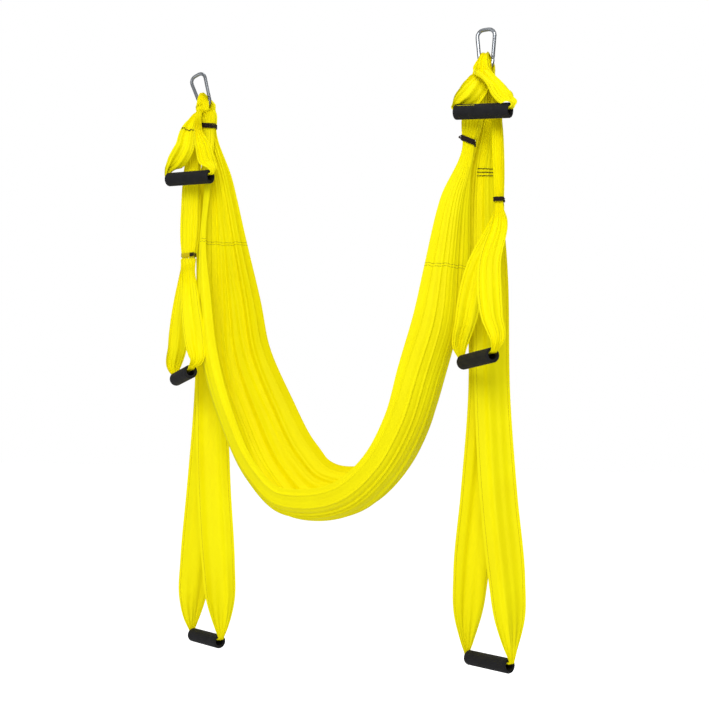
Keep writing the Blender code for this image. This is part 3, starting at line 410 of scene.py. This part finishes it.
grips = {
    "leftShort": {
        "side": "left", "kind": "short", "at": (-396.25, -60, -286), "turn": -6, "slope": -3,
        "aside": (-4, 0),
        "loop": {"x": 8.0, "z": -86.36, "radius": (11, 27), "width": (10, 18), "fold": 4.4},
        "near": [
            (0.11, 0.26, 0.18, 18, 6, 0.50, -50, 0.9),
            (0.33, 0.66, 0.28, 20, 6, 0.90, -50, 0.9),
            (0.62, 1.00, 0.68, 40, 6, 0.95, -50, 0.6),
            (0.80, 1.00, 0.80, 42, 5, 1.00, -50, 0.5),
            (0.89, 1.00, 0.99, 32, 4, 1.00, -20, 0.6),
        ],
        "far": [
            (0.11, 0.26, 0.12, 26, 7, 0.60, -60, 0.7),
            (0.19, 0.44, 0.16, 34, 7, 0.80, -60, 0.5),
            (0.33, 0.66, 0.24, 44, 6, 0.90, -55, 0.3),
            (0.60, 1.00, 0.26, 50, 5, 0.95, -52, 0.1),
            (0.78, 1.00, 0.62, 46, 5, 1.00, -52, 0.1),
            (0.89, 1.00, 0.95, 26, 4, 1.00, 0, 0.5),
        ],
    },
    "rightShort": {
        "side": "right", "kind": "short", "at": (403.75, -60, -205), "turn": -6, "slope": -6,
        "loop": {"x": -0.7, "z": -86.36, "radius": (20, 34), "width": (17, 34), "fold": 4.0},
        "near": [
            (0.11, 0.26, 0.13, 36, 7, 0.00, 0, 0.5),
            (0.31, 0.62, 0.34, 36, 6, 0.70, -30, 0.4),
            (0.49, 0.90, 0.50, 38, 5, 0.85, -45, 0.3),
            (0.70, 1.00, 0.66, 44, 5, 0.95, -50, 0.2),
            (0.80, 1.00, 0.84, 42, 5, 1.00, -50, 0.3),
            (0.865, 1.00, 1.00, 28, 4, 1.00, -16, 0.6),
        ],
        "far": [
            (0.11, 0.26, 0.10, 38, 7, 0.00, 0, 0.5),
            (0.19, 0.44, 0.12, 44, 7, 0.10, 0, 0.4),
            (0.31, 0.62, 0.14, 52, 6, 0.50, -16, 0.3),
            (0.50, 0.90, 0.26, 58, 5, 0.82, -38, 0.15),
            (0.66, 1.00, 0.48, 58, 5, 0.94, -50, 0.1),
            (0.77, 1.00, 0.72, 48, 5, 1.00, -54, 0.15),
            (0.87, 1.00, 0.95, 26, 4, 1.00, 0, 0.5),
        ],
    },
    "leftMedium": {
        "side": "left", "kind": "medium", "at": (-419.25, -47, -793), "turn": -40, "slope": 6,
        "aside": (25, -8), "loop": {"radius": (3.4, 5.6), "width": (36, 44), "fold": 2.0},
    },
    "rightMedium": {
        "side": "right", "kind": "medium", "at": (382.75, -47, -771), "turn": -40, "slope": 4,
        "aside": (12, -6),
    },
    "leftLong": {
        "side": "left", "kind": "long", "at": (-421.25, 72, -1477), "turn": -27, "slope": 0, "wide": 1.4,
    },
    "rightLong": {
        "side": "right", "kind": "long", "at": (362.25, 72, -1474), "turn": -27, "slope": 0, "wide": 1.4,
        "aside": (7, -16),
    },
}
# middle to the bend, cloth above the bore's axis, bend radius; foam's half length and radii
gripEnd = {"reach": 70.6, "seat": 6.4, "bend": 5.6, "foam": 70.5, "bore": 11.6, "skin": 18.5}


def heading(turn, slope=0.0):
    flat = math.cos(math.radians(slope))
    return np.array([math.cos(math.radians(turn)) * flat, math.sin(math.radians(turn)) * flat,
                     math.sin(math.radians(slope))])


# straps: the loop on top and the legs. Leg rows: share of the drop, of the way to
# the grip, of the legs' spread; width, fold limit, turn share, twist, fine pleats.

straps = {
    "short": {"cut": 76, "columns": 61, "coarse": 1.6, "fine": 4.0, "steps": 46},
    "medium": {
        "cut": 80, "columns": 57, "coarse": 1.5, "fine": 5.5, "steps": 60,
        "loop": {"radius": (3.4, 5.6), "width": (20, 22), "fold": 2.4},
        "legs": [
            (0.12, 0.30, 0.16, 38, 5, 0.25, -6, 0.6),
            (0.40, 0.92, 0.46, 54, 5, 0.60, -28, 0.2),
            (0.74, 1.00, 0.72, 50, 5, 0.90, -22, 0.2),
            (0.92, 1.00, 1.02, 32, 5, 1.00, -6, 0.6),
        ],
    },
    "long": {
        "cut": 104, "columns": 61, "coarse": 1.35, "fine": 5.5, "steps": 110,
        "loop": {"x": 4.1, "z": -85.68, "radius": (10, 12), "width": (12, 16), "fold": 4.0},
        "legs": [
            (0.024, 0.19, 0.09, 22, 6, 0.02, 0, 0.9),
            (0.042, 0.42, 0.09, 28, 6, 0.20, 0, 0.8),
            (0.175, 1.00, 0.11, 44, 6, 0.34, 0, 0.35),
            (0.350, 1.20, 0.15, 70, 6, 0.54, -16, 0.12),
            (0.550, 1.18, 0.24, 84, 6, 0.72, -24, 0.06),
            (0.720, 1.08, 0.54, 88, 6, 0.86, -30, 0.06),
            (0.860, 1.02, 0.88, 85, 6, 0.94, -32, 0.06),
            (0.935, 1.00, 0.98, 70, 6, 0.99, -16, 0.15),
            (0.975, 1.00, 1.00, 40, 5, 1.00, 0, 0.5),
        ],
    },
}
mediumHinges = {"left": (-435.25, -4, -487.6), "right": (422.25, -4, -412.6)}
# thread bindings: middle, size in mm, turns of thread, tilt in degrees; tails are loose ends
# at the left by height and rise
bindings = {
    "leftMedium": {
        "at": (-434.25, -4, -476), "width": 39, "depth": 12.2, "height": 10, "turns": 6, "tilt": 0,
    },
    "rightMedium": {
        "at": (422.25, -4, -401), "width": 20, "depth": 12.2, "height": 10, "turns": 3, "tilt": 4,
    },
    "leftHammock": {
        "at": (-378.25, 0, -139), "width": 44, "depth": 13.6, "height": 12.5, "turns": 6, "tilt": 9,
    },
    "rightHammock": {
        "at": (345.75, 0, -254), "width": 28, "depth": 13.6, "height": 13, "turns": 3, "tilt": 27,
        "tails": ((-4, 5), (0.5, 1), (4.5, -3)),
    },
}


def loopTop(axis, radius, widths, fold, count=13):
    # stations over a rod along X, front to back; radius back and up, widths at crown and sides
    angle = np.linspace(0, math.pi, count)
    rows = np.zeros((count, 7))
    rows[:, 0] = axis[0]
    rows[:, 1] = axis[1] - radius[0] * np.cos(angle)
    rows[:, 2] = axis[2] + radius[1] * np.sin(angle)
    rows[:, 3] = widths[1] + (widths[0] - widths[1]) * np.sin(angle)
    rows[:, 4:] = (fold, 0, 0.9)
    return rows


def clearOfFoam(grid, centre, axis):
    # cloth inside the foam's wall moves straight out to just over its surface
    away = grid - centre
    t = away @ axis
    radial = away - t[..., None] * axis
    r = np.linalg.norm(radial, axis=-1)
    skin = gripEnd["skin"] * mm
    inside = (np.abs(t) < gripEnd["foam"] * mm) & (r > gripEnd["bore"] * mm) & (r < skin)
    push = np.where(inside, skin / np.maximum(r, mm), 1.0)[..., None]
    return centre + t[..., None] * axis + radial * push


def strapGrid(name):
    grip = grips[name]
    side, kind = grip["side"], grip["kind"]
    shape = straps[kind]
    top = grip.get("loop") or shape["loop"]
    if kind == "medium":
        axis = np.array(mediumHinges[side], float)
    else:
        axis = np.array([sides[side] * (hook["x"] + top["x"]), 0, top["z"]], float)
    centre = np.array(grip["at"], float)
    over = loopTop(axis, top["radius"], top["width"], top["fold"])
    halves = []
    for sign, start in ((1, over[0]), (-1, over[-1])):
        clear = start.copy()
        clear[2] -= min(top["radius"][0], 12)
        clear[1] = axis[1] + (start[1] - axis[1]) * 0.86
        rows = [start, clear]
        rise = sign * (gripEnd["reach"] + gripEnd["bend"]) * math.sin(math.radians(grip["slope"]))
        legs = grip.get("near" if sign > 0 else "far") or shape["legs"]
        aside = grip.get("aside", (0, 0))[0 if sign > 0 else 1]
        for down, drift, spread, width, fold, turn, twist, pleats in legs:
            angle = -90 + (grip["turn"] + 90) * turn
            way = heading(angle) * sign * spread * (gripEnd["reach"] + gripEnd["bend"])
            drifts = np.array([min(drift, 1) ** 4, drift])
            flat = axis[:2] * (1 - drifts) + centre[:2] * drifts + way[:2]
            z = axis[2] - (axis[2] - centre[2]) * down + rise * down ** 3
            upper = math.exp(-((down - 0.22) / 0.14) ** 2)
            width *= 1 + (grip.get("wide", 1) - 1) * upper
            flat[0] += aside * (upper if kind == "long" else math.sin(math.pi * down) ** 0.6)
            rows.append((*flat, z, width, fold, angle + 90 + twist, pleats))
        ahead = heading(grip["turn"], grip["slope"]) * sign
        end = centre + ahead * gripEnd["reach"] + np.array([0, 0, gripEnd["seat"]])
        angle = np.linspace(0, math.pi / 2, 6)
        mouth = np.zeros((6, 7))
        mouth[:, :3] = end + ahead * gripEnd["bend"] * np.cos(angle)[:, None]
        mouth[:, 2] += gripEnd["bend"] * (1 - np.sin(angle))
        mouth[:, 3:] = (17, 2.6, grip["turn"] + 90, 1.0)
        leg = smoothRows([*rows, mouth[0]], shape["steps"], 0.6)[1:-1]
        halves.append((leg, mouth))
    inside = smoothRows([halves[0][1][-1], halves[1][1][-1]], 14)[1:-1]
    near, far = halves
    rows = np.concatenate([over[::-1], near[0], near[1], inside, far[1][::-1], far[0][::-1]])
    phase = sum(map(ord, name)) % 7
    grid = stripGrid(rows * inMetres, shape["cut"] * mm, shape["columns"], shape["coarse"],
                     shape["fine"], phase, True)
    return clearOfFoam(grid, centre * mm, heading(grip["turn"], grip["slope"]))


strapGrids = {}
for name, grip in grips.items():
    shape = straps[grip["kind"]]
    node = grip["side"] + "_" + grip["kind"] + "_strap"
    grid = strapGrid(name)
    piece = clothPiece(name + "Strap", grid, shape["cut"] * mm, None, True)
    if grip["kind"] == "medium":
        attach(piece, node)
    else:
        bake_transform(piece)
    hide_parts(node)
    strapGrids[name] = grid
print("straps made")


# gathered cloth above the bindings. x and z: middle of the loop from the hook's; radius back
# and up, loop: widths at crown and sides; fold limits above and below. Leg rows: share of the
# drop, of the way across, of the binding's width.

hangers = {
    "medium": {
        "node": "medium_hanger", "x": {"left": 8.9, "right": 8.9}, "z": -83.05, "loop": (11, 18),
        "radius": {"left": (10, 18), "right": (10, 15)}, "lean": {"left": 0, "right": 0},
        "fold": (5.0, 2.6), "cut": {"left": 84, "right": 52}, "columns": 81, "fine": 6, "under": 6,
        "legs": {
            "left": [
                (0.16, 0.42, 0.70), (0.38, 0.74, 1.16), (0.66, 0.88, 1.42), (0.88, 0.96, 1.34), (1, 1, 1),
            ],
            "right": [
                (0.16, 0.42, 0.70), (0.38, 0.74, 1.14), (0.66, 0.92, 1.32), (0.88, 1.0, 1.14), (1, 1, 1),
            ],
        },
    },
    "hammock": {    # the left one leans over the tilted hook
        "node": "hammock_end", "x": {"left": 7.4, "right": -6.95}, "z": -84.5, "loop": (9, 42),
        "radius": {"left": (14, 34), "right": (13, 26)}, "lean": {"left": 11, "right": 0},
        "fold": (3.4, 3.2), "cut": {"left": 88, "right": 66}, "columns": 161, "fine": 6, "under": 0,
        "legs": {
            "left": [
                (0.16, 0.42, 1.02), (0.38, 0.80, 1.08), (0.66, 0.98, 1.05), (0.92, 1.0, 1.0), (1, 1, 1),
            ],
            "right": [
                (0.16, 0.36, 1.40), (0.38, 0.58, 1.85), (0.66, 0.76, 1.75), (0.92, 0.93, 1.28), (1, 1, 1),
            ],
        },
    },
}


def hangerPiece(side, kind):
    shape = hangers[kind]
    bound = bindings[side + kind.capitalize()]
    foot = np.array(bound["at"], float) - np.array([0, 0, shape["under"]])
    axis = np.array([sides[side] * (hook["x"] + shape["x"][side]), 0, shape["z"]], float)
    top, low = shape["fold"]
    radius = shape["radius"][side]
    over = loopTop(axis, radius, shape["loop"], top)
    over[:, 0] += shape["lean"][side] * (1 - (over[:, 2] - axis[2]) / radius[1])
    legs = []
    for sign, start in ((-1, over[0]), (1, over[-1])):
        clear = start.copy()
        clear[2] -= min(radius[0], 12)
        clear[1] = start[1] * 0.9
        rows = [start, clear]
        for share, across, grow in shape["legs"][side]:
            fold = low + (top - low) * (1 - share) ** 2
            x = start[0] + (foot[0] - start[0]) * across
            y = sign * (fold + 0.4) + foot[1] * share
            z = clear[2] + (foot[2] - clear[2]) * share
            rows.append((x, y, z, bound["width"] * grow, fold, 0, 0.85))
        legs.append(smoothRows(rows, 60)[1:])
    rows = np.concatenate([legs[0][::-1], over, legs[1]])
    cut = shape["cut"][side] * mm
    grid = stripGrid(rows * inMetres, cut, shape["columns"], 2.5, shape["fine"], 2.0, False)
    piece = clothPiece(side + kind.capitalize() + "Gather", grid, cut, "hammock_and_hooks")
    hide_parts(side + "_" + shape["node"])


for side in sides:
    for kind in hangers:
        hangerPiece(side, kind)
print("gathered ends made")


# hammock: nested layers of one wide cloth in a deep trough

# left to right in mm: x, z of the underside; width, near and far wall; last, how far it is open
troughLine = [
    (-385.2, -288, 48, 32, 68, 0.24),
    (-387.1, -438, 96, 34, 98, 0.48),
    (-387.9, -600, 148, 68, 127, 0.74),
    (-373.1, -745, 176, 82, 135, 0.88),
    (-310.3, -914, 200, 78, 144, 1.0),
    (-229.2, -1056, 200, 72, 148, 1.0),
    (-141.1, -1134.6, 200, 74, 145, 1.0),
    (-47.2, -1149.5, 200, 77, 130, 1.0),
    (70.4, -1120.7, 200, 72, 112.5, 1.0),
    (159.6, -1044.6, 192, 67, 92, 0.96),
    (230.2, -928.2, 176, 70, 86, 0.88),
    (271.3, -807.1, 156, 78, 83, 0.78),
    (307.8, -689.5, 132, 82, 74, 0.66),
    (319.4, -550, 100, 67, 65, 0.50),
    (332.6, -400, 60, 49, 50, 0.30),
]
hammock = {
    "cut": 0.86,    # metres, the rest in mm
    "thick": 7.1,    # closed bundle in the binding
    "wall": 0.6,
    "layerGap": 5.5,
    "seams": {"left": -446, "right": -551},    # height of each seam on the underside
    "seamRows": (-3.2, 3.2),    # two rows of stitches beside each seam
}
# thin creases: place round the section, how far they wander
creases = (
    (-0.83, 1.0), (-0.62, 0.4), (-0.47, -0.8), (-0.28, 0.7), (-0.10, -0.5), (0.09, 0.8),
    (0.27, -1.0), (0.41, 0.5), (0.55, 1.0), (0.69, -0.6), (0.85, 0.3),
)
# laps, where the cloth doubles over itself: place, how far they wander, height
laps = ((-0.05, 1.2, 4.5), (0.20, 2.0, 6.5), (0.47, 1.4, 5.0), (0.66, 1.0, 4.5), (0.84, 0.5, 5.5))


def hammockRows(count):
    rows = []
    for side in sides:
        bound = bindings[side + "Hammock"]
        x = bound["at"][0] + sides[side] * bound["width"] / 2
        z = bound["at"][2]
        deep = bound["width"]
        thick = hammock["thick"]
        cap = [(x, 0, z, thick, deep, deep, 0), (x, 0, z - 6, thick, deep, deep, 0)]
        rows += cap if side == "left" else cap[::-1]
        if side == "left":
            rows += [(x, 0, z, w, near, far, opened) for x, z, w, near, far, opened in troughLine]
    rows = smoothRows(rows, 900)
    step = np.linalg.norm(np.diff(rows[:, :3], axis=0), axis=1)
    where = np.concatenate([[0], np.cumsum(step)])
    tangent = np.gradient(rows[:, :3], where, axis=0)
    for k in range(3):    # evened along the line, so the rims stay free of cusps
        tangent[:, k] = np.convolve(np.pad(tangent[:, k], 32, mode="edge"), np.ones(65) / 65, "valid")
    table = np.concatenate([rows, tangent], axis=1)
    wanted = np.linspace(0, where[-1], count)
    table = np.stack([np.interp(wanted, where, table[:, k]) for k in range(table.shape[1])], axis=1)
    rows, tangent = table[:, :7], table[:, 7:]
    return rows, tangent / np.linalg.norm(tangent, axis=1)[:, None], wanted


def hammockGrid(count=202, columns=489):
    # section: the outer layer from far rim (v = 1) to near rim (v = -1), back inside to the
    # far rim, then down and up the near wall. With a = 90 degrees * v and o the layer's offset,
    # b = (half - o) sin a runs back and n = o + (height - o)(1 - cos a)^1.2 up, plus folds.
    rows, tangent, where = hammockRows(count)
    inward = np.stack([-tangent[:, 2], tangent[:, 1], tangent[:, 0]], axis=1)
    u = np.linspace(0, 1, columns)[None, :]
    first = np.clip(u / 0.37, 0, 1)
    second = np.clip((u - 0.37) / 0.34, 0, 1)
    third = np.clip((u - 0.71) / 0.29, 0, 1)
    v = np.cos(math.pi * first) + (1 - np.cos(math.pi * second)) * 0.97
    v = v - (1 - np.cos(math.pi * third)) * 0.85
    depth = smoothStep(u, 0.35, 0.39) + smoothStep(u, 0.69, 0.73)
    half = rows[:, 3][:, None] / 2
    opened = rows[:, 6][:, None]
    offset = hammock["wall"] + depth * np.minimum(hammock["layerGap"], half * 0.24)
    height = np.where(v < 0, rows[:, 4][:, None], rows[:, 5][:, None])
    turn = v * math.pi / 2
    rise = (1 - np.cos(turn)) ** 1.2
    s = where[:, None] * mm
    drift = 0.10 * np.sin(3.1 * s + 1.0)
    folds = np.sin(2 * math.pi * 1.9 * (v + drift) + 0.7)
    folds = folds + 0.6 * np.sin(2 * math.pi * 3.3 * (v - drift) + 2.1)
    folds = folds + 0.35 * np.sin(2 * math.pi * 6.1 * v + 3 * drift)
    deepen = 1.4 + 1.8 * depth
    calm = 1 - smoothStep(np.abs(v), 0.86, 1.0)
    ripple = folds * deepen * opened * (0.4 + 0.6 * calm)
    pleat = np.sin(2 * math.pi * 8.5 * v + 0.6 * depth) * np.minimum(1.1, half * 0.3)
    ripple = ripple + pleat * np.clip(1 - opened, 0, 1) ** 2.4
    lay = 0.06 * np.sin(2.3 * s + 2.0)
    for place, bend in creases:
        deep = 4.2 + 1.8 * np.sin(4.1 * s + 9 * place)
        ripple = ripple - deep * opened * np.exp(-((v - place - bend * lay) / 0.018) ** 2)
    leftward = 0.5 - 0.5 * np.clip(rows[:, 0][:, None] / 300, -1, 1)
    for place, bend, tall in laps:
        away = v - place - bend * (lay + 0.10 * np.sin(1.7 * s + 5 * place))
        lapped = np.tanh(away / 0.016) * np.exp(-(away / 0.10) ** 2)
        ripple = ripple + tall * (0.35 + 0.65 * leftward) * opened * lapped * calm
    for place in seamPlaces(rows, where).values():
        pucker = np.exp(-((where[:, None] - place) / 9) ** 2)
        ripple = ripple + 0.35 * pucker * np.sin(2 * math.pi * 41 * v)
    b = (half - offset) * np.sin(turn) - np.sin(turn) * ripple
    n = offset + (height - offset - 3 * depth) * rise + np.cos(turn) * ripple
    # below its binding the far half of the right arm runs outwards
    lean = 0.9 * smoothStep(rows[:, 0], 150, 290) * smoothStep(-rows[:, 2], 290, 370)
    lean *= 1 - smoothStep(-rows[:, 2], 500, 690)
    n -= lean[:, None] * np.maximum(b, 0)
    front = np.array([0.0, 1.0, 0.0])
    grid = rows[:, None, :3] + b[..., None] * front + n[..., None] * inward[:, None]
    return grid * mm, seamPlaces(rows, where), where


def seamPlaces(rows, where):
    lowest = int(np.argmin(rows[:, 2]))
    seams = hammock["seams"]
    left = np.interp(-seams["left"], -rows[:lowest, 2], where[:lowest])
    right = np.interp(seams["right"], rows[lowest:, 2], where[lowest:])
    return {"left": float(left), "right": float(right)}


def lineAcross(grid, where, wanted):
    # the point of each column at its own wanted distance along
    column = np.arange(grid.shape[1])
    cell = np.clip(np.searchsorted(where, wanted, side="right") - 1, 0, len(where) - 2)
    t = ((wanted - where[cell]) / (where[cell + 1] - where[cell]))[:, None]
    return grid[cell, column] * (1 - t) + grid[cell + 1, column] * t


grid, seamAt, where = hammockGrid()
wideCloth = clothPiece("hammockCloth", grid, hammock["cut"], "hammock_and_hooks")
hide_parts("left_hammock_panel", "middle_hammock_panel", "right_hammock_panel")
column = np.linspace(0, 1, grid.shape[1])
for side, place in seamAt.items():
    for offset in hammock["seamRows"]:
        wavy = place + offset + 1.1 * np.sin(2 * math.pi * 13 * column)
        wavy = wavy + 0.7 * np.sin(2 * math.pi * 29 * column)
        name = side + "Seam" + ("Upper" if offset < 0 else "Lower")
        line = lineAcross(grid, where, wavy)
        stitches(name, line, seamThread, "hammock_and_hooks", 4.2, 3.2, 0.5)


# stitches on the straps: rows of dark thread across a leg

barTacks = {
    "rightLongTack": {"on": "rightLong", "leg": "near", "z": (-312, -320, -328), "slant": 0.0},
    "leftShortTack": {"on": "leftShort", "leg": "far", "z": (-152,), "slant": 3.4},
}
for name, tack in barTacks.items():
    grid = strapGrids[tack["on"]]
    grip = grips[tack["on"]]
    legRows = straps[grip["kind"]]["steps"] - 2
    leg = grid[13:13 + legRows] if tack["leg"] == "near" else grid[:-legRows - 1:-1]
    for k, z in enumerate(tack["z"]):
        height = leg[..., 2].mean(axis=1)
        line = lineAcross(leg, -height, np.full(leg.shape[1], -z * mm))[2:-2]
        line[:, 1] -= 1.2 * mm    # they lie on the face turned outwards
        piece = stitches(name + "ABC"[k], line, darkThread, None, 4.4, 4.1, 1.0, tack["slant"])
        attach(piece, grip["side"] + "_" + grip["kind"] + "_strap")
print("stitches made")


# thread bindings

def tube(path, radius, around=8):
    # round tube along a path, drawn in at both ends
    path = np.asarray(path, float)
    along = np.gradient(path, axis=0)
    along /= np.linalg.norm(along, axis=1)[:, None]
    guide = np.where(np.abs(along[:, 2:3]) > 0.9, np.array([1.0, 0, 0]), np.array([0, 0, 1.0]))
    side = np.cross(along, guide)
    side /= np.linalg.norm(side, axis=1)[:, None]
    up = np.cross(side, along)
    angle = np.linspace(0, 2 * math.pi, around, endpoint=False)
    size = np.full(len(path), radius)
    size[0] = size[-1] = radius * 0.15
    ring = side[:, None] * np.cos(angle)[None, :, None] + up[:, None] * np.sin(angle)[None, :, None]
    return path[:, None] + ring * size[:, None, None]


for name, bound in bindings.items():
    side = "left" if name.startswith("left") else "right"
    kind = "medium_binding" if "Medium" in name else "hammock_binding"
    turns, tall = bound["turns"], bound["height"]
    t = np.linspace(0, 1, turns * 40 + 1)
    angle = 2 * math.pi * turns * t
    c, s = np.cos(angle), np.sin(angle)
    x = (bound["width"] / 2 + 2.0) * np.sign(c) * np.abs(c) ** 0.55
    y = (bound["depth"] / 2 + 1.0) * np.sign(s) * np.abs(s) ** 0.55
    thick = tall / turns / 2 * 1.06
    z = (t - 0.5) * tall + np.sin(angle * 0.5 + 1) * 0.4 - x * math.tan(math.radians(bound["tilt"]))
    path = (np.stack([x, y, z], axis=1) + np.array(bound["at"])) * mm
    points = tube(path, thick * mm)
    faces = gridFaces(len(path), 8, False, True)
    for foot, rise in bound.get("tails", ()):    # loose thread ends at the left
        start = np.array([-bound["width"] / 2 - 1, -bound["depth"] / 2, foot + 7])
        t = np.linspace(0, 1, 7)[:, None]
        end = start + t * np.array([-6.5, -1.5, rise]) + np.sin(math.pi * t) * np.array([0, -1.0, 0.8])
        faces = np.concatenate([faces, gridFaces(7, 8, False, True) + points.size // 3])
        points = np.concatenate([points, tube((end + np.array(bound["at"])) * mm, 1.1 * mm)])
    finish = yellowThread if name == "leftMedium" else darkThread
    piece = addMesh(name + "Wraps", points, faces, finish, "hammock_and_hooks")
    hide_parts(side + "_" + kind)
    if name == "leftMedium":    # the last wraps at one end are dark
        piece.data.materials.append(darkThread)
        ringX = np.repeat(x[:-1], 8)
        dark = (ringX > 7.5) & (np.repeat(y[:-1], 8) < 2)
        piece.data.polygons.foreach_set("material_index", dark.astype(np.int32))
print("bindings made")


# materials of the CAD nodes that stay

for node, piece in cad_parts.items():
    if piece.hide_render:
        continue
    finish = metal if "hook" in node else sleeve if "foam" in node else coreTube
    piece.data.materials.clear()
    piece.data.materials.append(finish)
    for face in piece.data.polygons:
        face.material_index = 0
